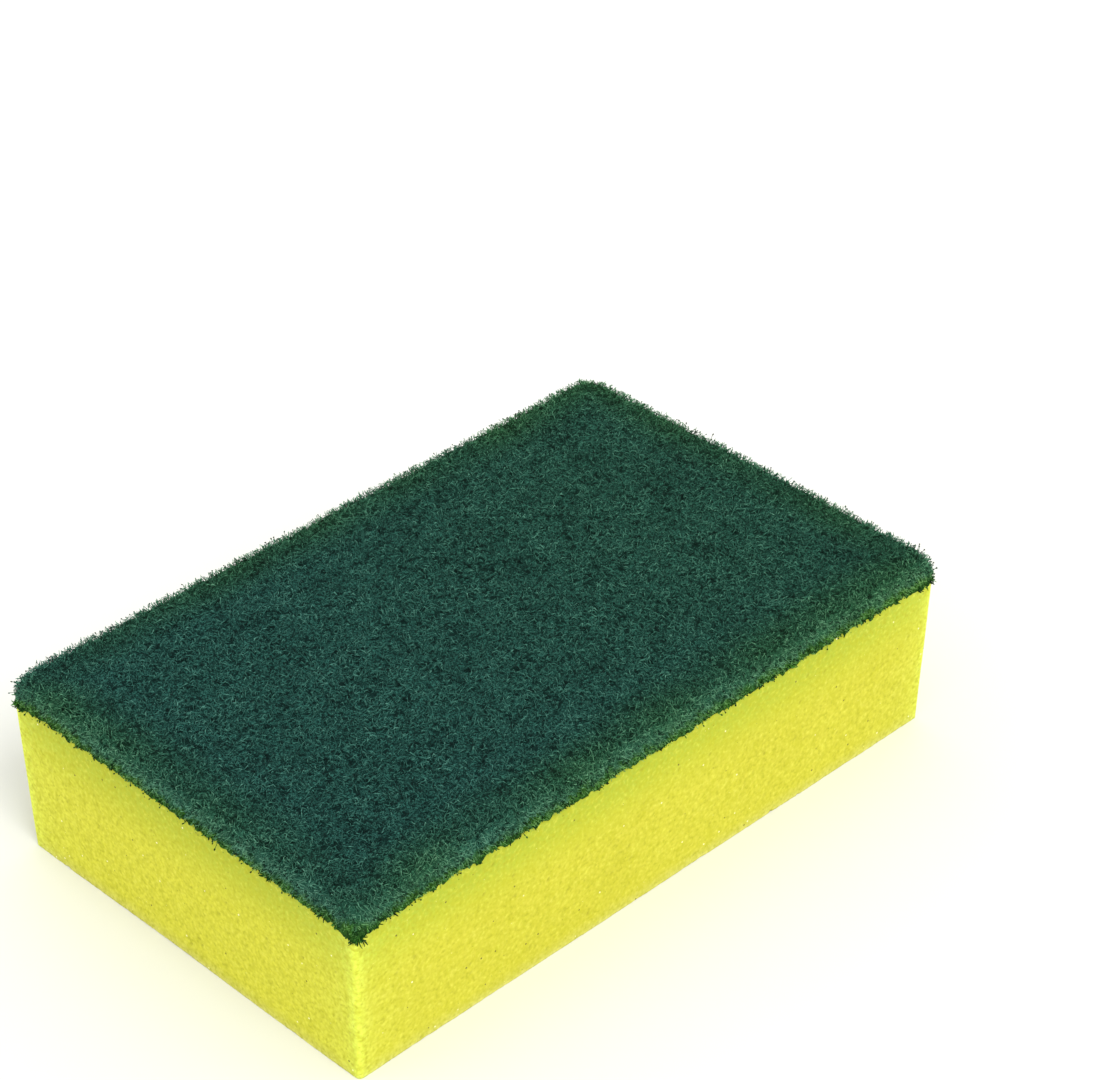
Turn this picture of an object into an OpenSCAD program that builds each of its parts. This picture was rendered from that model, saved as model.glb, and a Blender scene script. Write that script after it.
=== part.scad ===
// Cleaning sponge in two layers: a soft foam block with a fibrous scouring pad bonded to its top face.
// It lies on the foam's underside. X runs along its length, Y across its width and Z up.
// The origin is the centre of the underside, on the surface that the sponge rests on.

/* [Outline] */
// Length of the cut block, end to end
sponge_length = 140; // [60:1:240]
// Width of the cut block, side to side
sponge_width = 87.5; // [40:0.5:160]

/* [Foam block] */
// Thickness of the foam
foam_thickness = 30.5; // [10:0.5:80]
// Radius of the foam's four upright edges
foam_edge_radius = 1; // [0.5:0.1:6]
// Radius of the soft edge round the foam's underside
foam_sole_radius = 1; // [0.2:0.1:3]
// How far each end draws in from the bond down to the underside
end_draw_in = 0.6; // [0:0.1:4]
// How far each long side draws in from the bond down to the underside
side_draw_in = 1; // [0:0.1:4]

/* [Scouring pad] */
// Thickness of the pad
pad_thickness = 6.5; // [3:0.5:20]
// Radius that the pad's four corners are worn to round its top face, seen from above
pad_corner_radius = 6; // [3:0.5:12]
// Radius of the worn edge round the top of the pad
pad_brow_radius = 1.8; // [0.4:0.1:2.5]

/* [Hidden] */

// Segments in a full turn of each rounded corner and edge
round_segments = 32;
// Height of the thin slice that carries an outline where the two layers meet
outline_slice = 0.2;

// Half the length and width of the face where the two layers meet
bond_half = [sponge_length / 2, sponge_width / 2];
// Half the length and width of the foam's underside
sole_half = bond_half - [end_draw_in, side_draw_in];
// Height of the pad's top face
top_height = foam_thickness + pad_thickness;

// Places its children at the four corners of a rectangle, their centres set in from its sides.
module at_corners(half, set_in) {
    for (side_x = [-1, 1], side_y = [-1, 1])
        translate([side_x * (half.x - set_in), side_y * (half.y - set_in), 0])
            children();
}

// Four thin discs, from height z up, that hull into a flat slice with round corners.
module corner_discs(half, corner_radius, z) {
    at_corners(half, corner_radius)
        translate([0, 0, z])
            cylinder(r = corner_radius, h = outline_slice, $fn = round_segments);
}

// Four beads, centred on height z, that hull into the same outline with a rounded edge all round.
module corner_beads(half, corner_radius, edge_radius, z) {
    at_corners(half, corner_radius)
        translate([0, 0, z])
            rotate_extrude($fn = round_segments)
                intersection() {
                    translate([corner_radius - edge_radius, 0])
                        circle(r = edge_radius, $fn = round_segments);
                    translate([0, -edge_radius])
                        square([corner_radius, 2 * edge_radius]);
                }
}

// Open-cell foam: widest where the pad is bonded on, and drawn in a little towards its underside.
module foam_block() {
    color("#e4e048")
        hull() {
            corner_discs(bond_half, foam_edge_radius, foam_thickness - outline_slice);
            corner_beads(sole_half, foam_edge_radius, foam_sole_radius, foam_sole_radius);
        }
}

// Resin-bonded fibre web: cut with the foam at the bond, with its corners and edge worn round at the top.
module scouring_pad() {
    color("#1f5046")
        hull() {
            corner_discs(bond_half, foam_edge_radius, foam_thickness);
            corner_beads(bond_half, pad_corner_radius, pad_brow_radius, top_height - pad_brow_radius);
        }
}

foam_block();
scouring_pad();
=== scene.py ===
"""The looks of a two-layer cleaning sponge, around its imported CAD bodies.

The foam block is a closed mesh with its cells pressed into it. The scouring pad is a matted core under
thousands of modelled fibres: a web over its faces, stubble where it was cut, and a fringe along the bond.
Lengths in the constants are in millimetres. Blender's own units are metres.
"""

import math

import bpy
import numpy as np
from mathutils import Matrix, Vector, noise
from mathutils.geometry import delaunay_2d_cdt


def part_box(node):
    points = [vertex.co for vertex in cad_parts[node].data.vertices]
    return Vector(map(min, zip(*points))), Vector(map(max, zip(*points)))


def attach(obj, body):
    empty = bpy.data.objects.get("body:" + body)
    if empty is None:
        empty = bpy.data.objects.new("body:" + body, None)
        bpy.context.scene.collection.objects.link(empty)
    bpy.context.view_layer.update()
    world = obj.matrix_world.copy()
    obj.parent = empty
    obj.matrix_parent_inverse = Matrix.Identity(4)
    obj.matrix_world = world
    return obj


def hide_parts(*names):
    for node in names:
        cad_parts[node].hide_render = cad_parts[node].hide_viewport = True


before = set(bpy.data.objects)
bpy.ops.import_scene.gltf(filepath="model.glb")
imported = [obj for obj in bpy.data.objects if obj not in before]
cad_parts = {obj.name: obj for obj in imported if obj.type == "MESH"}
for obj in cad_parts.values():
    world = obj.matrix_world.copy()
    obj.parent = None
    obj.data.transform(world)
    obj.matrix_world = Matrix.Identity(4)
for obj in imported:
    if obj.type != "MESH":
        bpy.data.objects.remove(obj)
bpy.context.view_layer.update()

MM = 0.001
SEED = 4817

FOAM_HIGH = np.array(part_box("foam_block")[1]) / MM
PAD_LOW, PAD_HIGH = (np.array(corner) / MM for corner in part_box("scouring_pad"))
BOND_Z = FOAM_HIGH[2]
HALF_X, HALF_Y = FOAM_HIGH[0], FOAM_HIGH[1]

# Foam block. Its mesh goes on a little way up inside the pad's ragged rim.
END_DRAW_IN = 0.6
SIDE_DRAW_IN = 1.0
EDGE_RADIUS = 1.0
SOLE_RADIUS = 0.15
FOAM_TOP_Z = BOND_Z + 1.7
FACE_SWELL = 0.14
GRAIN_DEPTH = 0.03
CELL_SIZE, CELL_DEPTH = 1.8, 0.05
PIT_SPACING, PIT_DEPTH = 3.4, 0.25

# Scouring pad. The rim's heights are above the bond.
PAD_MIDDLE_Z = (PAD_LOW[2] + PAD_HIGH[2]) / 2
PAD_HALF_Z = (PAD_HIGH[2] - PAD_LOW[2]) / 2
TOP_CORNER_RADIUS = 6.0
PAD_BROW_RADIUS = 1.8
PAD_SIDE_SWELL = 0.45
PAD_TOP_SWELL = 0.2
RIM_AT_CORNER = 0.1
RIM_RISE_ALONG_SIDE = 0.9
RIM_LOWEST, RIM_HIGHEST = -0.7, 1.8
CORE_DEPTH = 0.65
CORE_SET_IN = 0.45

# Fibres
WEB_PIECES = 3
FIBRES_IN_PIECE = 9400
FIBRE_RADII = (0.06, 0.09)
FIBRE_SHADE, FIBRE_SHADE_SPREAD = 0.348, 0.12
CUT_ENDS = 5200
CUT_END_RADII = (0.04, 0.065)
LONGEST_CUT_END = 0.85
BEADED_SHARE = 0.8
FRINGE_TUFTS = 900
STRANDS_IN_TUFT = 3
STRAND_RADII = (0.09, 0.17)

# Distances between the points of the meshes
FOAM_SPACING = 0.52
SOLE_SPACING = 0.9
CORE_SPACING = 0.8
RIM_SPACING = 0.36
FRINGE_SPACING = 0.2
HIDDEN_SPACING = 5.0


# ---------------------------------------------------------------- meshes

def make_mesh(name, points, quads, triangles=()):
    """A smooth mesh object from points in millimetres and arrays of quads and triangles."""
    quads = np.asarray(quads, np.int32).reshape(-1, 4)
    triangles = np.asarray(triangles, np.int32).reshape(-1, 3)
    mesh = bpy.data.meshes.new(name)
    mesh.vertices.add(len(points))
    mesh.vertices.foreach_set("co", (np.asarray(points) * MM).astype(np.float32).ravel())
    corners = np.concatenate([quads.ravel(), triangles.ravel()])
    mesh.loops.add(len(corners))
    mesh.loops.foreach_set("vertex_index", corners)
    sizes = np.concatenate([np.full(len(quads), 4), np.full(len(triangles), 3)]).astype(np.int32)
    mesh.polygons.add(len(sizes))
    mesh.polygons.foreach_set("loop_start", np.concatenate([[0], np.cumsum(sizes)[:-1]]).astype(np.int32))
    mesh.polygons.foreach_set("use_smooth", np.ones(len(sizes), bool))
    mesh.update(calc_edges=True)
    mesh.validate()
    piece = bpy.data.objects.new(name, mesh)
    bpy.context.scene.collection.objects.link(piece)
    return piece


def set_attribute(piece, name, values):
    """Stores one number for each point of a piece's mesh, for its material to read."""
    attribute = piece.data.attributes.new(name, "FLOAT", "POINT")
    attribute.data.foreach_set("value", np.asarray(values, np.float32))


def smoothstep(low, high, value):
    t = np.clip((value - low) / (high - low), 0, 1)
    return t * t * (3 - 2 * t)


def cloud(points, wavelength, octaves=1, offset=0.0):
    """Smooth noise from about -1 to 1 at each point, with blotches of about the given wavelength."""
    scaled = np.asarray(points) / wavelength + offset
    return np.array([noise.fractal(Vector(p), 1.0, 2.0, octaves) for p in scaled])


def cells(points, size, offset=0.0):
    """How clear each point is of the nearest cell wall, and how far from its cell's centre, in cell sizes."""
    scaled = np.asarray(points) / size + offset
    wall, centre = np.empty(len(scaled)), np.empty(len(scaled))
    for i, p in enumerate(scaled):
        distances = noise.voronoi(Vector(p))[0]
        wall[i] = distances[1] - distances[0]
        centre[i] = distances[0]
    return wall, centre


def corner_distance(points):
    """How far points are, seen from above, from the nearest upright edge of the sponge."""
    return np.hypot(HALF_X - np.abs(points[:, 0]), HALF_Y - np.abs(points[:, 1]))


def corner_steps(radius, spacing):
    """How many steps a quarter turn of a rounded corner takes."""
    return max(6, round(radius * math.pi / 2 / spacing))


def rounded_outline(half_x, half_y, radius, spacing, arc_steps=None):
    """Points and outward directions round a rectangle with round corners, anticlockwise. Outlines with the
    same arc_steps have as many points, whatever their radius."""
    arc_steps = arc_steps or corner_steps(radius, spacing)
    points, outward = [], []
    for quarter, (sx, sy) in enumerate([(1, 1), (-1, 1), (-1, -1), (1, -1)]):
        centre = np.array([sx * (half_x - radius), sy * (half_y - radius)])
        for k in range(arc_steps + 1):
            angle = (quarter + k / arc_steps) * math.pi / 2
            direction = np.array([math.cos(angle), math.sin(angle)])
            points.append(centre + radius * direction)
            outward.append(direction)
        full_side = 2 * (half_x if quarter % 2 == 0 else half_y)
        side = full_side - 2 * radius
        straight_steps = round(full_side / spacing)
        along = np.array([-direction[1], direction[0]])
        for k in range(1, straight_steps):
            points.append(centre + radius * direction + along * side * k / straight_steps)
            outward.append(direction)
    return np.array(points), np.array(outward)


def fill_outline(outline, spacing, rng):
    """Points inside an outline on a slightly uneven grid, and the triangles that join them to it."""
    low, high = outline.min(0), outline.max(0)
    columns, rows = (np.ceil((high - low) / spacing)).astype(int)
    grid = np.stack(np.meshgrid(np.arange(1, columns), np.arange(1, rows), indexing="ij"), -1).reshape(-1, 2)
    inner = low + (high - low) * grid / [columns, rows] + rng.uniform(-0.22, 0.22, grid.shape) * spacing
    margin = 0.6 * spacing
    centre = (low + high) / 2
    room = (high - low) / 2 - margin
    beyond = np.maximum(np.abs(inner - centre) - (room - 3), 0)
    inner = inner[np.hypot(beyond[:, 0], beyond[:, 1]) < 3]
    count = len(outline)
    edges = [(i, (i + 1) % count) for i in range(count)]
    both = np.concatenate([outline, inner])
    faces, origins = delaunay_2d_cdt([Vector(p) for p in both], edges, [], 1, 1e-6)[2:4]
    source = np.array([ids[0] for ids in origins])
    return inner, np.array([[source[i] for i in face] for face in faces])


def block_shell(rings, low_spacing, high_spacing, rng):
    """Joins equal rings of points, lowest first, into a closed shell with a filled bottom and top.
    Returns its points, quads and triangles, and how many points are on the rings and in the bottom."""
    count = len(rings[0])
    points = [np.asarray(ring) for ring in rings]
    start = np.arange(count)
    following = (start + 1) % count
    quads = [np.stack([k * count + start, k * count + following,
                       (k + 1) * count + following, (k + 1) * count + start], -1)
             for k in range(len(rings) - 1)]
    ring_total = count * len(rings)
    low_inner, low_faces = fill_outline(points[0][:, :2], low_spacing, rng)
    high_inner, high_faces = fill_outline(points[-1][:, :2], high_spacing, rng)
    points.append(np.column_stack([low_inner, np.full(len(low_inner), rings[0][0][2])]))
    points.append(np.column_stack([high_inner, np.full(len(high_inner), rings[-1][0][2])]))
    low_faces = np.where(low_faces < count, low_faces, low_faces - count + ring_total)[:, ::-1]
    top_ring = count * (len(rings) - 1)
    high_start = ring_total + len(low_inner)
    high_faces = np.where(high_faces < count, high_faces + top_ring, high_faces - count + high_start)
    triangles = np.concatenate([low_faces, high_faces])
    return np.concatenate(points), np.concatenate(quads), triangles, (ring_total, len(low_inner))


# ---------------------------------------------------------------- foam

def foam_rings():
    """Rings up the foam: a soft edge at its sole, then sides that widen evenly up to the bond and go on
    inside the pad's rim, drawn in under its corners. Returns them with the way out at each point and its
    distance from the nearest upright edge."""
    outline, outward = rounded_outline(HALF_X, HALF_Y, EDGE_RADIUS, FOAM_SPACING)
    from_edge = corner_distance(outline)
    levels = [(SOLE_RADIUS * (1 - math.cos(a)), SOLE_RADIUS * (1 - math.sin(a)))
              for a in np.linspace(0.15, math.pi / 2, 4)]
    straight_steps = round((FOAM_TOP_Z - SOLE_RADIUS) / FOAM_SPACING)
    levels += [(z, 0.0) for z in np.linspace(SOLE_RADIUS, FOAM_TOP_Z, straight_steps + 1)[1:]]
    rings, normals = [], []
    for z, set_in in levels:
        low_share = max(0, 1 - z / BOND_Z)
        scale = 1 - low_share * np.array([END_DRAW_IN / HALF_X, SIDE_DRAW_IN / HALF_Y])
        under_pad = 0.6 * smoothstep(0, 1, z - BOND_Z) * np.exp(-(from_edge / 3) ** 2)
        flat = outline * scale - outward * (set_in + under_pad)[:, None]
        rings.append(np.column_stack([flat, np.full(len(flat), z)]))
        down = -math.sqrt(max(0.0, 1 - (1 - set_in / SOLE_RADIUS) ** 2))
        level = math.sqrt(1 - down * down)
        normals.append(np.column_stack([outward * level, np.full(len(flat), down)]))
    return rings, np.concatenate(normals), np.tile(from_edge, len(rings))


def make_foam(rng):
    """The foam block. Its cells and pits are calmer by its upright edges, and fade out inside the pad."""
    rings, ring_normals, ring_from_edge = foam_rings()
    points, quads, triangles, (on_rings, in_sole) = block_shell(rings, SOLE_SPACING, HIDDEN_SPACING, rng)
    normals = np.zeros_like(points)
    normals[:on_rings] = ring_normals
    normals[on_rings:on_rings + in_sole] = [0, 0, -1]
    normals[on_rings + in_sole:] = [0, 0, 1]
    shown = np.ones(len(points))
    shown[on_rings + in_sole:] = 0
    shown[:on_rings] = smoothstep(0, 1.2, FOAM_TOP_Z - points[:on_rings, 2])
    calm = np.ones(len(points))
    calm[:on_rings] = 1 - 0.8 * np.exp(-(ring_from_edge / 1.5) ** 2)
    open_cell = smoothstep(0.05, 0.45, cells(points, CELL_SIZE)[0])
    pit = 1 - smoothstep(0.05, 0.12, cells(points, PIT_SPACING, offset=17.3)[1])
    swell = cloud(points, 26, octaves=2, offset=3.1)
    grain = cloud(points, 2.2, offset=9.7)
    relief = GRAIN_DEPTH * grain - CELL_DEPTH * open_cell - PIT_DEPTH * pit
    lift = shown * (FACE_SWELL * swell + calm * relief)
    sole = normals[:, 2] < -0.5
    lift = np.where(sole, np.minimum(lift, 0), lift)
    points = points + normals * lift[:, None]
    foam = make_mesh("foam_body", points, quads, triangles)
    # Painted highlight: a pale band down each upright edge, wider on the end faces.
    corner_painted_highlight = np.zeros(len(points))
    wander = 0.5 * cloud(points[:on_rings], 3.0, offset=61.0)
    corner_painted_highlight[:on_rings] = (0.55 * np.exp(-((ring_from_edge + wander) / 1.8) ** 2)
                               + 0.42 * np.exp(-ring_from_edge / 6.5))
    corner_painted_highlight = np.minimum(corner_painted_highlight * (1 + 0.35 * np.abs(normals[:, 0])), 1)
    set_attribute(foam, "corner", corner_painted_highlight)
    set_attribute(foam, "pit", pit * shown)
    set_attribute(foam, "height", points[:, 2])
    set_attribute(foam, "end", np.abs(normals[:, 0]))
    return foam


# ---------------------------------------------------------------- scouring pad

def share_up_pad(z):
    """How far up the pad heights are: 0 at the bond, and 1 at the top."""
    return np.clip((z - PAD_LOW[2]) / (2 * PAD_HALF_Z), 0, 1)


def pad_corner_radius(z):
    """The pad's corners are cut sharp at the bond, and worn rounder towards the top."""
    return EDGE_RADIUS + (TOP_CORNER_RADIUS - EDGE_RADIUS) * share_up_pad(z) ** 2.2


def side_swell(z):
    """How far the loosened web swells out of the pad's sides at each height."""
    return PAD_SIDE_SWELL * np.sin(math.pi * share_up_pad(z))


def plan_distance(points):
    """How far points are outside the pad's outline seen from above, or minus how far inside."""
    corner = pad_corner_radius(points[..., 2])
    from_corner = np.abs(points[..., :2]) - (np.array([HALF_X, HALF_Y]) - corner[..., None])
    return (np.linalg.norm(np.maximum(from_corner, 0), axis=-1) + np.minimum(from_corner.max(-1), 0) - corner
            - side_swell(points[..., 2]))


def pad_distance(points):
    """How far points are outside the pad's rounded slab, or minus how far inside."""
    from_brow = np.stack([plan_distance(points) + PAD_BROW_RADIUS,
                          np.abs(points[..., 2] - PAD_MIDDLE_Z) - PAD_HALF_Z + PAD_BROW_RADIUS], -1)
    return (np.linalg.norm(np.maximum(from_brow, 0), axis=-1) + np.minimum(from_brow.max(-1), 0)
            - PAD_BROW_RADIUS)


def in_plan(points):
    """The same points with no height, so that a pattern read at them runs straight up the pad's sides."""
    return np.column_stack([points[:, 0], points[:, 1], np.zeros(len(points))])


def pad_swell(points):
    """The pad's top isn't quite flat: how much higher or lower it is at each point."""
    return PAD_TOP_SWELL * cloud(in_plan(points), 16.0, octaves=2, offset=12.0)


def rim_height(points):
    """Height of the pad's ragged lower rim, which wanders up and down along the bond and hangs low at the
    corners."""
    plan = in_plan(points)
    height = (RIM_AT_CORNER + RIM_RISE_ALONG_SIDE * smoothstep(0, 9, corner_distance(points))
              + 0.45 * cloud(plan, 6.0, octaves=2, offset=5.0)
              + 0.8 * cloud(plan, 1.4, octaves=3, offset=8.0))
    return BOND_Z + np.clip(height, RIM_LOWEST, RIM_HIGHEST)


def unit(vectors):
    return vectors / np.maximum(np.linalg.norm(vectors, axis=-1, keepdims=True), 1e-9)


def pad_outward(points):
    """The direction straight out of the pad at each point."""
    step = 0.02
    slopes = [pad_distance(points + step * axis) - pad_distance(points - step * axis) for axis in np.eye(3)]
    return unit(np.stack(slopes, -1))


def make_core(rng):
    """The matted inside of the pad: a slab under its fibres, whose lower rim hangs ragged over the foam."""
    top = PAD_HIGH[2] - CORE_DEPTH
    brow = PAD_BROW_RADIUS
    # Each level's height, and how far it is set in. The second and third are then bent to the ragged rim.
    levels = [(BOND_Z - 0.9, 0.9), (BOND_Z + 0.7, 0.05), (BOND_Z + 1.1, 0.08), (BOND_Z + 2.4, 0.37)]
    levels += [(z, CORE_SET_IN) for z in np.linspace(BOND_Z + 2.9, top - brow, 3)]
    levels += [(top - brow * (1 - math.sin(a)), CORE_SET_IN + brow * (1 - math.cos(a)))
               for a in (0.4, 0.8, 1.2, 1.45)]
    arc_steps = corner_steps(TOP_CORNER_RADIUS / 2, RIM_SPACING)
    side = []
    for z, set_in in levels:
        outline, outward = rounded_outline(HALF_X, HALF_Y, pad_corner_radius(z), RIM_SPACING, arc_steps)
        side.append(np.column_stack([outline - outward * (set_in - side_swell(z)), np.full(len(outline), z)]))
    side[1][:, 2] = rim_height(side[1])
    side[2][:, 2] = rim_height(side[2]) + 0.4
    points, quads, triangles, (on_rings, in_low) = block_shell(side, HIDDEN_SPACING, CORE_SPACING, rng)
    points[on_rings + in_low:, 2] = top
    on_top = points[:, 2] > top - brow
    points[on_top, 2] += pad_swell(points[on_top])
    normals = pad_outward(points)
    shown = np.ones(len(points))
    shown[on_rings:on_rings + in_low] = 0
    shown[:len(outline)] = 0
    lift = shown * 0.35 * cloud(points, 1.5, octaves=3, offset=21.0)
    by_foam = points[:, 2] < BOND_Z + 2
    lift[by_foam] = np.maximum(lift[by_foam], -0.05)
    core = make_mesh("web_core", points + normals * lift[:, None], quads, triangles)
    set_attribute(core, "green", painted_bounce_share(points))
    set_attribute(core, "side", 1 - np.abs(normals[:, 2]))
    return core


def painted_bounce_share(points):
    """How far the pad's teal turns to leaf green, as painted light thrown back from the yellow foam: fully at
    its rim on the foam, in thin clouds by its edges, and a little towards its +X end."""
    by_rim = 1 - smoothstep(BOND_Z + 0.8, BOND_Z + 3.8, points[:, 2] + 1.4 * cloud(points, 1.8, offset=44.0))
    by_edge = smoothstep(-12.0, 0.0, plan_distance(points)) * (0.6 + 0.4 * cloud(points, 14.0, offset=40.0))
    by_end = smoothstep(-40.0, 60.0, points[:, 0])
    return np.clip(by_rim + 0.5 * by_edge + 0.17 * by_end, 0, 1)


def spread_over_pad(rng, count, side_share):
    """Random starting points on the pad: over its top, and a share of them on its four sides."""
    on_side = rng.random(count) < side_share
    x = rng.uniform(-HALF_X, HALF_X, count)
    y = rng.uniform(-HALF_Y, HALF_Y, count)
    z = rng.uniform(BOND_Z + 0.9, PAD_HIGH[2] - 0.8, count)
    along_x = rng.random(count) < HALF_X / (HALF_X + HALF_Y)
    sign = rng.choice([-1.0, 1.0], count)
    points = np.column_stack([x, y, np.full(count, PAD_HIGH[2])])
    points[on_side, 2] = z[on_side]
    long_side, short_side = on_side & along_x, on_side & ~along_x
    points[long_side, 1] = sign[long_side] * HALF_Y
    points[short_side, 0] = sign[short_side] * HALF_X
    return points


def grow_fibres(rng, start, steps, step_length, height, weave, curl):
    """Curled fibres that creep over the pad's surface, and hang no lower than just under its rim. height is
    how far outside the slab each runs, weave how much it dips and rises, more where the web is loose, and
    curl how tightly it winds. Returns each fibre's points, and the way out and how high it rides at each."""
    count = len(start)
    position = start.copy()
    direction = rng.normal(size=(count, 3)) * [1, 1, 2]
    turn = rng.normal(0, curl, count)
    phase = rng.uniform(0, 2 * math.pi, count)
    pace = rng.uniform(1.7, 3.0, count)
    path = np.empty((count, steps, 3))
    facing = np.empty((count, steps, 3))
    riding = np.empty((count, steps))
    for k in range(steps):
        outward = pad_outward(position)
        riding[:, k] = height + weave * (1 + 0.8 * loose_edge(position)) * np.sin(phase + pace * k)
        position = position + outward * (riding[:, k] - pad_distance(position))[:, None]
        low = position[:, 2] < BOND_Z + 2
        position[low, 2] = np.maximum(position[low, 2], rim_height(position[low]) - 0.1)
        path[:, k], facing[:, k] = position, outward
        direction = unit(direction - outward * (direction * outward).sum(-1, keepdims=True))
        turn = 0.75 * turn + rng.normal(0, curl, count)
        sideways = np.cross(outward, direction)
        direction = np.cos(turn)[:, None] * direction + np.sin(turn)[:, None] * sideways
        position = position + direction * step_length
    return path, facing, riding


def grow_stubble(rng, start, outward, shares, length, root_depth, lean, bend):
    """Short cut ends that stand out from the pad, with points at the given shares of their length. Each leans
    away from straight out and bends as it goes."""
    count = len(start)
    heading = unit(outward + rng.normal(0, lean, (count, 3)))
    bending = rng.normal(0, bend, (count, 3))
    share = np.asarray(shares)[None, :, None]
    reach = (length[:, None, None] + root_depth) * share - root_depth
    path = start[:, None] + heading[:, None] * reach + bending[:, None] * length[:, None, None] * share ** 2
    side = unit(np.cross(heading, rng.normal(size=(count, 3))))
    return path, np.repeat(side[:, None], len(shares), axis=1)


def tubes(name, path, facing, radius, tint):
    """One mesh of closed three-sided tubes along the paths. radius and tint have a value for each point."""
    count, steps, _ = path.shape
    along = unit(np.gradient(path, axis=1))
    across = unit(np.cross(along, facing))
    above = np.cross(across, along)
    sides = [math.pi / 2 + k * 2 * math.pi / 3 for k in range(3)]
    rings = np.stack([path + radius[..., None] * (math.cos(a) * across + math.sin(a) * above)
                      for a in sides], 2)
    first = (np.arange(count)[:, None] * steps + np.arange(steps - 1)[None, :]) * 3
    quads = []
    for k in range(3):
        following = (k + 1) % 3
        corners = [first + k, first + following, first + 3 + following, first + 3 + k]
        quads.append(np.stack(corners, -1).reshape(-1, 4))
    base = np.arange(count) * steps * 3
    tip = base + (steps - 1) * 3
    triangles = np.concatenate([np.stack([base, base + 2, base + 1], -1),
                                np.stack([tip, tip + 1, tip + 2], -1)])
    points = rings.reshape(-1, 3)
    piece = make_mesh(name, points, np.concatenate(quads), triangles)
    set_attribute(piece, "tint", np.repeat(tint.reshape(-1), 3))
    set_attribute(piece, "green", painted_bounce_share(points))
    map_tubes(piece, count, steps)
    return piece


def map_tubes(piece, count, steps):
    """A UV map with a small cell of its own for each tube: its sides unrolled side by side, and its ends
    beyond them."""
    columns = math.ceil(math.sqrt(count))
    tube = np.arange(count)
    corner = np.stack([tube % columns, tube // columns], -1)
    seam, end = 0.05, 0.12
    along = end + (1 - 2 * end) * np.arange(steps) / (steps - 1)
    around = seam + (1 - 2 * seam) * np.arange(4) / 3
    blocks = []
    for k in range(3):
        cell = np.array([[(along[j], around[k]), (along[j], around[k + 1]), (along[j + 1], around[k + 1]),
                          (along[j + 1], around[k])] for j in range(steps - 1)])
        blocks.append((corner[:, None, None] + cell[None]).reshape(-1, 2))
    for low, high in ((0.01, end - 0.01), (1 - end + 0.01, 0.99)):
        cap = np.array([(low, 0.2), (high, 0.5), (low, 0.8)])
        blocks.append((corner[:, None] + cap[None]).reshape(-1, 2))
    layer = piece.data.uv_layers.new(name="OFBake")
    layer.uv.foreach_set("vector", (np.concatenate(blocks) / columns).astype(np.float32).ravel())


def loose_edge(points):
    """How loose the web is: 1 at the pad's cut edges, where it frays, and 0 from a few millimetres in."""
    return smoothstep(-4.5, -0.4, plan_distance(points))


def make_web(name, rng, count, side_share, steps, step_length, depth, weave):
    """Fibres laid over the pad's faces. Each has its own shade, with soft blotches over the pad. On top of it
    is
    painted light and shade: darker where it rides low in the web, lighter where it faces sideways or the web
    is loose."""
    start = spread_over_pad(rng, count, side_share)
    on_side = start[:, 2] < PAD_HIGH[2] - 0.1
    height = rng.uniform(*depth, count) + pad_swell(start) + 0.1 * on_side
    path, facing, riding = grow_fibres(rng, start, steps, step_length, height, rng.uniform(*weave, count),
                                       curl=0.5)
    profile = np.interp(np.arange(steps), [0, 1, steps - 2, steps - 1], [0.6, 1, 1, 0.6])
    radius = rng.uniform(*FIBRE_RADII, count)[:, None] * profile
    middle = path[:, steps // 2]
    lengthways = middle * [0.35, 1.0, 1.0]
    blotches = (0.12 * cloud(middle, 9.0, octaves=2, offset=31.0) + 0.10 * cloud(middle, 2.5, offset=77.0)
                + 0.12 * cloud(lengthways, 3.4, offset=90.0))
    # Painted light and shade: lighter at the loose edges, where riding high and where facing sideways; darker
    # deep in the web.
    own = rng.normal(FIBRE_SHADE, FIBRE_SHADE_SPREAD, count) + blotches + 0.08 * loose_edge(middle)
    tint = own[:, None] + 0.35 * (riding - pad_swell(start)[:, None] + 0.4) + 0.25 * (1 - facing[..., 2])
    return tubes(name, path, facing, radius, np.clip(tint, 0, 1))


def make_stubble(name, rng, count):
    """Cut ends over the pad's sides and, shorter, over its top. Most have a small dark bead of resin near
    the tip."""
    start = spread_over_pad(rng, count, side_share=0.7)
    on_top = start[:, 2] > PAD_HIGH[2] - 0.1
    outward = pad_outward(start)
    start = start - outward * pad_distance(start)[:, None]
    length = np.minimum(rng.gamma(3.0, 0.11, count) + 0.12, LONGEST_CUT_END)
    length[on_top] *= 0.5
    path, facing = grow_stubble(rng, start, outward, [0, 0.45, 0.8, 0.92, 1], length,
                                root_depth=0.5, lean=0.7, bend=0.4)
    beaded = rng.random(count)[:, None] < BEADED_SHARE
    profile = np.where(beaded, [1, 0.8, 1.2, 3.5, 1.4], [1, 1, 1, 0.8, 0.4])
    radius = rng.uniform(*CUT_END_RADII, count)[:, None] * profile
    bead_shade = np.where(beaded, [0.15, 0.15, -0.1, -0.5, -0.5], [0.15, 0.15, 0.2, 0.2, 0.2])
    # Painted light: cut ends on the pad's sides are lighter.
    tint = np.clip(rng.beta(1.6, 3.2, count)[:, None] + 0.15 * (1 - outward[:, 2:]) + bead_shade, 0, 1)
    return tubes(name, path, facing, radius, tint)


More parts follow.
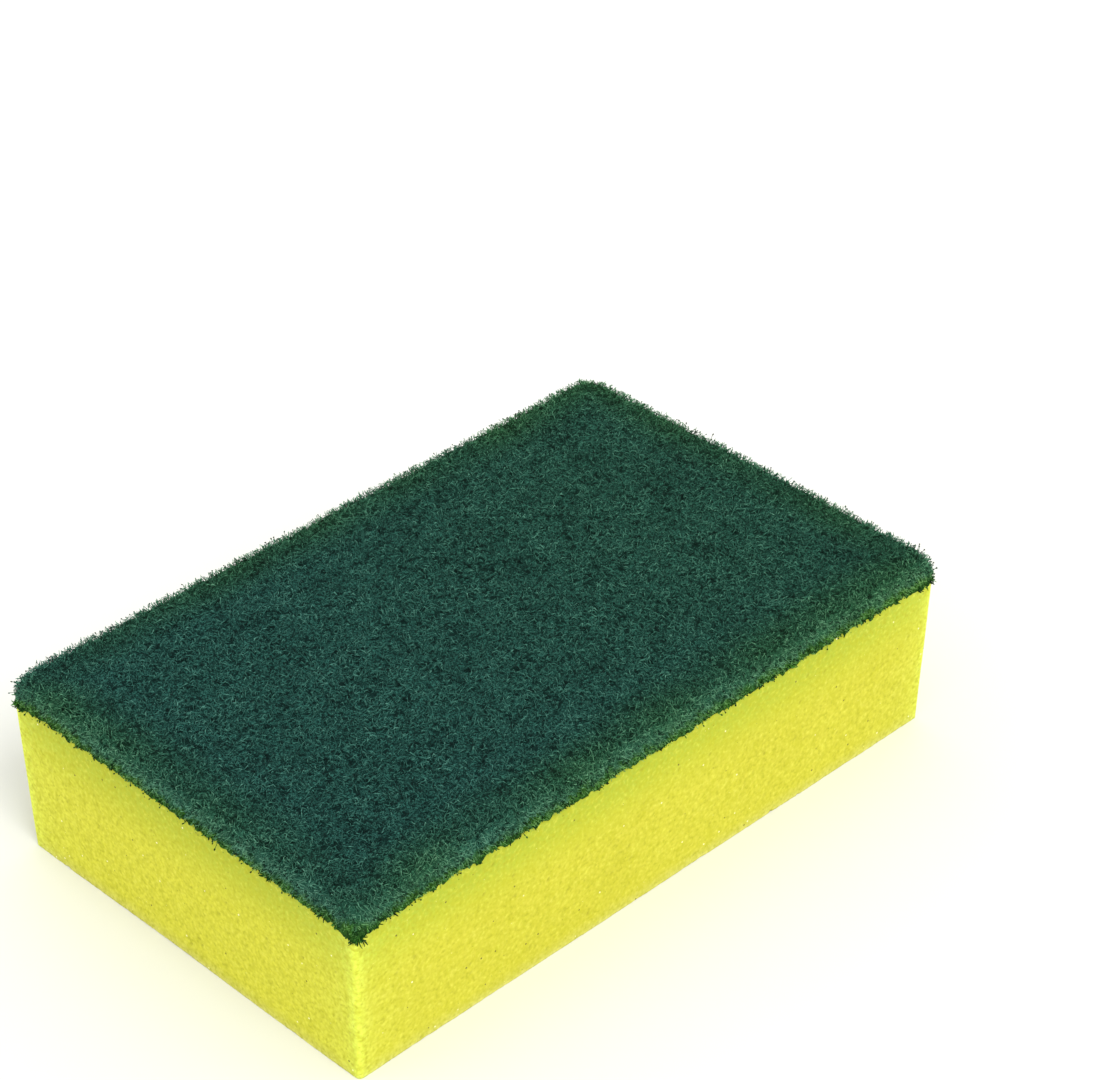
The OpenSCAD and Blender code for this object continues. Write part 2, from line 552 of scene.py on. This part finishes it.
def make_fringe(name, rng, tufts, strands):
    """Tufts where the pad's lower edge was cut through and bonded to the foam, most of them painted dark as
    painted shade under the pad. They stand thick in some places, thin in others, and thickest at the corners."""
    outline, outward = rounded_outline(HALF_X, HALF_Y, EDGE_RADIUS, FRINGE_SPACING)
    rim = np.column_stack([outline, np.zeros(len(outline))])
    rim[:, 2] = rim_height(rim)
    thickness = np.clip(0.35 + 1.0 * cloud(in_plan(rim), 2.2, octaves=3, offset=50.0), 0.04, None)
    thickness += 1.5 * np.exp(-(corner_distance(rim) / 2.5) ** 2)
    at = rng.choice(len(outline), tufts, p=thickness / thickness.sum())
    root = rim[at] + np.column_stack([np.zeros((tufts, 2)), rng.uniform(0.0, 0.8, tufts)])
    way = np.column_stack([outward[at] + rng.normal(0, 0.7, (tufts, 2)), rng.normal(-0.6, 0.8, tufts)])
    length = (0.1 + rng.gamma(3.0, 0.07, tufts)) * (0.6 + 0.7 * thickness[at])
    tuft = np.repeat(np.arange(tufts), strands)
    start = root[tuft] + rng.normal(0, 0.17, (len(tuft), 3))
    strand_length = length[tuft] * rng.uniform(0.6, 1.1, len(tuft))
    path, facing = grow_stubble(rng, start, unit(way)[tuft], [0, 0.4, 0.75, 1], strand_length,
                                root_depth=0.3, lean=0.25, bend=0.35)
    radius = rng.uniform(*STRAND_RADII, len(tuft))[:, None] * np.array([1.0, 1.1, 1.0, 0.5])
    # Painted shade: most tufts are dark.
    bright = rng.random(tufts) < 0.3
    shade = np.where(bright, rng.uniform(0.6, 1.0, tufts), rng.uniform(0.0, 0.35, tufts))
    tint = np.repeat(shade[tuft][:, None], 4, axis=1)
    return tubes(name, path, facing, radius, tint)


# ---------------------------------------------------------------- materials

def new_material(name):
    material = bpy.data.materials.new(name)
    material.use_nodes = True
    nodes = material.node_tree.nodes
    nodes.clear()
    output = nodes.new("ShaderNodeOutputMaterial")
    shader = nodes.new("ShaderNodeBsdfPrincipled")
    material.node_tree.links.new(shader.outputs["BSDF"], output.inputs["Surface"])
    return material, material.node_tree, shader


def link(tree, source, target):
    tree.links.new(source, target)


def node(tree, kind, **settings):
    """A new node. Each setting goes on its input of that name, or else on the node itself."""
    made = tree.nodes.new(kind)
    for key, value in settings.items():
        if key in made.inputs:
            made.inputs[key].default_value = value
        else:
            setattr(made, key, value)
    return made


def attribute(tree, name):
    return node(tree, "ShaderNodeAttribute", attribute_name=name).outputs["Fac"]


def object_point(tree):
    return node(tree, "ShaderNodeTexCoord").outputs["Object"]


def ramp(tree, value, stops):
    """A colour ramp through (position, colour) stops, read at value."""
    made = node(tree, "ShaderNodeValToRGB")
    elements = made.color_ramp.elements
    while len(elements) < len(stops):
        elements.new(0.5)
    for element, (position, colour) in zip(elements, stops):
        element.position = position
        element.color = (*colour, 1)
    link(tree, value, made.inputs["Fac"])
    return made.outputs["Color"]


def mix(tree, factor, first, second):
    """Mixes two colours. Each of the three may be a socket or a constant."""
    made = node(tree, "ShaderNodeMix", data_type="RGBA")
    for socket, value in zip((made.inputs[0], made.inputs[6], made.inputs[7]), (factor, first, second)):
        if isinstance(value, bpy.types.NodeSocket):
            link(tree, value, socket)
        else:
            socket.default_value = value if socket == made.inputs[0] else (*value, 1)
    return made.outputs[2]


def maths(tree, operation, *values):
    """One Math node. Each value may be a socket or a number."""
    made = node(tree, "ShaderNodeMath", operation=operation)
    for socket, value in zip(made.inputs, values):
        if isinstance(value, bpy.types.NodeSocket):
            link(tree, value, socket)
        else:
            socket.default_value = value
    return made.outputs["Value"]


def pattern(tree, kind, size, offset=0.0, **settings):
    """A noise or Voronoi texture node whose features are about size millimetres across."""
    where = node(tree, "ShaderNodeMapping")
    where.inputs["Location"].default_value = (offset, offset, offset)
    link(tree, object_point(tree), where.inputs["Vector"])
    made = node(tree, kind, Scale=1 / (size * MM), **settings)
    link(tree, where.outputs["Vector"], made.inputs["Vector"])
    return made


def spread(tree, value, low, high):
    """Maps value from low..high to 0..1, held at the ends."""
    made = node(tree, "ShaderNodeMapRange", interpolation_type="SMOOTHSTEP")
    made.inputs["From Min"].default_value = low
    made.inputs["From Max"].default_value = high
    link(tree, value, made.inputs["Value"])
    return made.outputs["Result"]


# Foam colours
FOAM_YELLOWS = ((0.595, 0.56, 0.047), (0.625, 0.59, 0.053))
# Painted light: the end faces are painted paler, to even their brightness with the long sides.
FOAM_END_FACE_PAINTED_LIGHT = (0.70, 0.68, 0.055)
# Painted shade of the pad: the foam darker and greener for 14 mm under it.
FOAM_PAINTED_SHADE_UNDER_PAD = (0.46, 0.52, 0.038)
# Painted shade of the pad's rim, darker and greener, and weaker on the end faces.
FOAM_PAINTED_SHADE_AT_RIM = (0.37, 0.46, 0.038)
# Painted light from the bright floor: the foam paler towards its sole, palest at its lowest edge.
FOAM_PAINTED_LIGHT_NEAR_SOLE = (0.63, 0.61, 0.16)
FOAM_PAINTED_LIGHT_AT_SOLE = (0.82, 0.78, 0.22)
# Painted highlight along the foam's upright edges.
FOAM_PAINTED_CORNER_HIGHLIGHT = (0.75, 0.86, 0.115)
FOAM_MOTTLE = (0.48, 0.47, 0.020)
FOAM_CELL = (0.50, 0.48, 0.020)
FOAM_LIGHT_GRAIN = (0.80, 0.79, 0.12)
FOAM_DARK_GRAIN = (0.42, 0.41, 0.018)
# Painted shade inside the foam's pits.
FOAM_PIT_PAINTED_SHADE = (0.32, 0.30, 0.02)
FOAM_GREEN_FLECK = (0.10, 0.22, 0.02)

# Specks in the foam and painted glints: their spacing, pattern offset, reach as a share of the spacing, and
# colour.
# The first two are dark specks, the last two painted highlights: glints off cell walls.
FOAM_SPECKS_AND_GLINTS = ((3.4, 0.31, 0.075, (0.16, 0.15, 0.02)),
               (2.6, 0.77, 0.05, (0.30, 0.32, 0.02)),
               (3.4, 0.13, 0.065, (0.97, 0.97, 0.62)),
               (2.3, 0.55, 0.045, (0.82, 0.82, 0.30)))

# Pad colours, from the darkest hollows to the lightest fibres
TEAL_STOPS = [(0.0, (0.003, 0.016, 0.014)), (0.35, (0.027, 0.116, 0.094)),
              (0.7, (0.062, 0.205, 0.160)), (1.0, (0.13, 0.34, 0.27))]
# The leaf green ramp is painted light thrown back from the yellow foam.
BOUNCE_GREEN_STOPS = [(0.0, (0.006, 0.028, 0.003)), (0.35, (0.036, 0.125, 0.017)),
              (0.7, (0.085, 0.245, 0.048)), (1.0, (0.19, 0.42, 0.12))]
# Fringe colours: painted shade under the pad, tinted by painted light from the foam.
FRINGE_PAINTED_SHADE_STOPS = [(0.0, (0.003, 0.024, 0.004)), (0.5, (0.014, 0.080, 0.008)), (1.0, (0.07, 0.24, 0.03))]


def mix_in(tree, colour, factor, weight, shade):
    """Mixes a shade into a colour by a factor times a weight."""
    return mix(tree, maths(tree, "MULTIPLY", factor, weight), colour, shade)


def foam_material():
    """Yellow foam, with painted light and shade: darker and greener towards the pad as painted shade, paler
    at its sole and on its end faces as painted light, paler along its upright edges as a painted highlight,
    and broken up by cells, grain, pits darkened with painted shade, dark specks and painted glints."""
    material, tree, shader = new_material("foam_open_cell")
    small = pattern(tree, "ShaderNodeTexVoronoi", 0.7)
    grain = pattern(tree, "ShaderNodeTexNoise", 0.75, Detail=1.0)
    broad = pattern(tree, "ShaderNodeTexNoise", 18, Detail=2.0)
    # Painted shade: the foam darker and greener towards the pad.
    painted_shade_near_bond = spread(tree, attribute(tree, "height"), BOND_Z - 14, BOND_Z + 1)
    painted_shade_near_rim = spread(tree, attribute(tree, "height"), BOND_Z - 8, BOND_Z + 1.2)
    # Painted light: paler towards the sole, and palest at its lowest edge.
    painted_light_near_sole = spread(tree, attribute(tree, "height"), 3.5, 0)
    colour = mix(tree, spread(tree, broad.outputs["Fac"], 0.3, 0.7), *FOAM_YELLOWS)
    # Painted light: the end faces paler than the long sides.
    colour = mix_in(tree, colour, attribute(tree, "end"), 0.8, FOAM_END_FACE_PAINTED_LIGHT)
    colour = mix(tree, painted_shade_near_bond, colour, FOAM_PAINTED_SHADE_UNDER_PAD)
    # Painted shade: the foam darkest and greenest right at the pad's rim.
    rim_shade_weight = maths(tree, "MULTIPLY_ADD", attribute(tree, "end"), -0.3, 0.75)
    colour = mix_in(tree, colour, painted_shade_near_rim, rim_shade_weight, FOAM_PAINTED_SHADE_AT_RIM)
    colour = mix_in(tree, colour, painted_light_near_sole, 0.6, FOAM_PAINTED_LIGHT_NEAR_SOLE)
    lowest = spread(tree, attribute(tree, "height"), 1.0, 0.1)
    colour = mix_in(tree, colour, lowest, 0.7, FOAM_PAINTED_LIGHT_AT_SOLE)
    # Painted highlight along the upright edges.
    colour = mix_in(tree, colour, attribute(tree, "corner"), 0.85, FOAM_PAINTED_CORNER_HIGHLIGHT)
    mottle = pattern(tree, "ShaderNodeTexNoise", 1.9, 0.4, Detail=2.0, Roughness=0.7)
    colour = mix_in(tree, colour, spread(tree, mottle.outputs["Fac"], 0.60, 0.28), 0.5, FOAM_MOTTLE)
    colour = mix_in(tree, colour, spread(tree, small.outputs["Distance"], 0.25, 0.8), 0.4, FOAM_CELL)
    colour = mix_in(tree, colour, spread(tree, grain.outputs["Fac"], 0.5, 0.85), 0.4, FOAM_LIGHT_GRAIN)
    colour = mix_in(tree, colour, spread(tree, grain.outputs["Fac"], 0.48, 0.2), 0.68, FOAM_DARK_GRAIN)
    # Painted shade: the pits darkened.
    colour = mix_in(tree, colour, attribute(tree, "pit"), 0.6, FOAM_PIT_PAINTED_SHADE)
    # Dark specks, then painted glints.
    for spacing, offset, reach, shade in FOAM_SPECKS_AND_GLINTS:
        speck = pattern(tree, "ShaderNodeTexVoronoi", spacing, offset)
        colour = mix(tree, spread(tree, speck.outputs["Distance"], reach, 0.5 * reach), colour, shade)
    fleck = pattern(tree, "ShaderNodeTexVoronoi", 1.6, 0.91)
    under_rim = spread(tree, attribute(tree, "height"), BOND_Z - 3, BOND_Z)
    colour = mix_in(tree, colour, spread(tree, fleck.outputs["Distance"], 0.12, 0.06), under_rim,
                    FOAM_GREEN_FLECK)
    link(tree, colour, shader.inputs["Base Color"])
    shader.inputs["Roughness"].default_value = 0.8
    shader.inputs["Specular IOR Level"].default_value = 0.2
    shader.inputs["Subsurface Weight"].default_value = 0.6
    shader.inputs["Subsurface Radius"].default_value = (1.0, 0.95, 0.25)
    shader.inputs["Subsurface Scale"].default_value = 2.4 * MM
    bump = node(tree, "ShaderNodeBump", Strength=0.5, Distance=0.1 * MM)
    link(tree, maths(tree, "ADD", small.outputs["Distance"], grain.outputs["Fac"]), bump.inputs["Height"])
    link(tree, bump.outputs["Normal"], shader.inputs["Normal"])
    return material


def web_colour(tree, lightness):
    """The pad's teal at each lightness, turning leaf green by its attribute, as painted light thrown back
    from the foam.
    """
    return mix(tree, attribute(tree, "green"), ramp(tree, lightness, TEAL_STOPS),
               ramp(tree, lightness, BOUNCE_GREEN_STOPS))


def hollows(tree):
    """How deep in shade each place in the web lies: 1 in its scattered small voids, and 0 elsewhere."""
    return spread(tree, pattern(tree, "ShaderNodeTexNoise", 1.4, 0.6, Detail=1.0).outputs["Fac"], 0.46, 0.26)


def broken_tint(tree, size, detail, contrast):
    """Each tube's own tint, broken up along it by noise with features of the given size."""
    broken = pattern(tree, "ShaderNodeTexNoise", size, Detail=detail)
    change = maths(tree, "MULTIPLY_ADD", broken.outputs["Fac"], contrast, -contrast / 2)
    return maths(tree, "ADD", attribute(tree, "tint"), change)


def core_material():
    """The mat under the fibres, dark as painted shade deep in the web, and a little lighter on its sides as
    painted light.
    """
    material, tree, shader = new_material("web_matted_core")
    strands = pattern(tree, "ShaderNodeTexNoise", 0.4, Detail=3.0, Distortion=1.6)
    lightness = node(tree, "ShaderNodeMapRange")
    link(tree, strands.outputs["Fac"], lightness.inputs["Value"])
    lightness.inputs["From Min"].default_value = 0.46
    lightness.inputs["From Max"].default_value = 0.68
    # Painted shade: the core kept dark, as shade deep in the web.
    lightness.inputs["To Max"].default_value = 0.5
    shaded = maths(tree, "MULTIPLY_ADD", hollows(tree), -0.3, lightness.outputs["Result"])
    # Painted light: lighter on its sides.
    shaded = maths(tree, "MULTIPLY_ADD", attribute(tree, "side"), 0.25, shaded)
    link(tree, web_colour(tree, shaded), shader.inputs["Base Color"])
    shader.inputs["Roughness"].default_value = 0.9
    shader.inputs["Specular IOR Level"].default_value = 0.05
    bump = node(tree, "ShaderNodeBump", Strength=0.8, Distance=0.25 * MM)
    link(tree, strands.outputs["Fac"], bump.inputs["Height"])
    link(tree, bump.outputs["Normal"], shader.inputs["Normal"])
    return material


def fibre_material():
    """Resin-coated fibres, whose shade breaks up along each one."""
    material, tree, shader = new_material("web_fibre")
    lightness = broken_tint(tree, size=0.55, detail=1.0, contrast=1.65)
    shaded = maths(tree, "MULTIPLY_ADD", hollows(tree), -0.36, lightness)
    link(tree, web_colour(tree, shaded), shader.inputs["Base Color"])
    shader.inputs["Roughness"].default_value = 0.65
    shader.inputs["Specular IOR Level"].default_value = 0.12
    return material


def fringe_shade_material():
    """The cut edge of the web along the bond: dark with painted shade under the pad, and yellower with
    painted light thrown back from the foam.
    """
    material, tree, shader = new_material("web_fringe")
    lightness = broken_tint(tree, size=0.5, detail=2.0, contrast=1.2)
    link(tree, ramp(tree, lightness, FRINGE_PAINTED_SHADE_STOPS), shader.inputs["Base Color"])
    shader.inputs["Roughness"].default_value = 0.7
    shader.inputs["Specular IOR Level"].default_value = 0.1
    return material


def floor_material():
    material, tree, shader = new_material("studio_floor")
    shader.inputs["Base Color"].default_value = FLOOR_COLOUR
    shader.inputs["Roughness"].default_value = 0.9
    shader.inputs["Specular IOR Level"].default_value = 0.1
    return material


# ---------------------------------------------------------------- studio

CAMERA_AZIMUTH = -44.36
CAMERA_ELEVATION = 34.26
CAMERA_ROLL = -0.26
CAMERA_DISTANCE = 671.8
CAMERA_AIM = (46.16, 31.22, 15.0)
LENS = 115.4
SENSOR_WIDTH = 36
FLOOR_REACH = 4000
FLOOR_COLOUR = (0.80, 0.795, 0.77, 1)
LIGHT_AIM = (0, 0, 15)
KEY_COLOUR = (1, 0.985, 0.96)
SKY_COLOUR = (0.985, 1, 0.995, 1)
SKY_STRENGTH = 1.07


def look_basis(azimuth, elevation, roll=0.0):
    """Right, up and backward directions of something that looks at the object from azimuth and elevation."""
    a, e, r = (math.radians(v) for v in (azimuth, elevation, roll))
    back = Vector((math.sin(a) * math.cos(e), -math.cos(a) * math.cos(e), math.sin(e)))
    level = Vector((math.cos(a), math.sin(a), 0))
    up = back.cross(level)
    return (level * math.cos(r) + up * math.sin(r), up * math.cos(r) - level * math.sin(r), back)


def placed(azimuth, elevation, distance, aim, roll=0.0):
    """The matrix of something that looks at aim from a distance."""
    right, up, back = look_basis(azimuth, elevation, roll)
    turn = Matrix((right, up, back)).transposed().to_4x4()
    return Matrix.Translation((Vector(aim) + back * distance) * MM) @ turn


def make_camera():
    data = bpy.data.cameras.new("camera")
    data.lens = LENS
    data.sensor_width = SENSOR_WIDTH
    data.sensor_fit = "HORIZONTAL"
    data.clip_start = 0.01
    camera = bpy.data.objects.new("camera", data)
    camera.matrix_world = placed(CAMERA_AZIMUTH, CAMERA_ELEVATION, CAMERA_DISTANCE, CAMERA_AIM,
                                 CAMERA_ROLL)
    bpy.context.scene.collection.objects.link(camera)
    bpy.context.scene.camera = camera


def make_softbox(name, azimuth, elevation, distance, size, watts, colour):
    """A square area light that shines on the sponge."""
    data = bpy.data.lights.new(name, "AREA")
    data.shape = "SQUARE"
    data.size = size * MM
    data.energy = watts
    data.color = colour
    light = bpy.data.objects.new(name, data)
    light.matrix_world = placed(azimuth, elevation, distance, LIGHT_AIM)
    bpy.context.scene.collection.objects.link(light)


def make_studio():
    make_camera()
    corners = [(x * FLOOR_REACH, y * FLOOR_REACH, 0) for x, y in ((-1, -1), (1, -1), (1, 1), (-1, 1))]
    floor = make_mesh("floor", corners, quads=[(0, 1, 2, 3)])
    floor.data.materials.append(floor_material())
    make_softbox("key", azimuth=-15, elevation=50, distance=4000, size=1700, watts=80, colour=KEY_COLOUR)
    world = bpy.data.worlds.new("studio")
    world.use_nodes = True
    background = world.node_tree.nodes["Background"]
    background.inputs["Color"].default_value = SKY_COLOUR
    background.inputs["Strength"].default_value = SKY_STRENGTH
    bpy.context.scene.world = world
    bpy.context.scene.view_settings.view_transform = "Standard"


# ---------------------------------------------------------------- the sponge

def finish_piece(piece, material):
    piece.data.materials.append(material)
    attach(piece, "root")
    return piece


rng = np.random.default_rng(SEED)
make_studio()
foam = finish_piece(make_foam(rng), foam_material())
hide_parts("foam_block")
core = finish_piece(make_core(rng), core_material())
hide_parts("scouring_pad")
fibre = fibre_material()
for index in range(WEB_PIECES):
    web = make_web(f"web_fibres_{index + 1}", rng, count=FIBRES_IN_PIECE, side_share=0.24, steps=4,
                   step_length=0.72, depth=(-0.75, -0.28), weave=(0.3, 0.52))
    finish_piece(web, fibre)
finish_piece(make_stubble("web_cut_ends", rng, count=CUT_ENDS), fibre)
fringe = make_fringe("web_fringe", rng, tufts=FRINGE_TUFTS, strands=STRANDS_IN_TUFT)
finish_piece(fringe, fringe_shade_material())
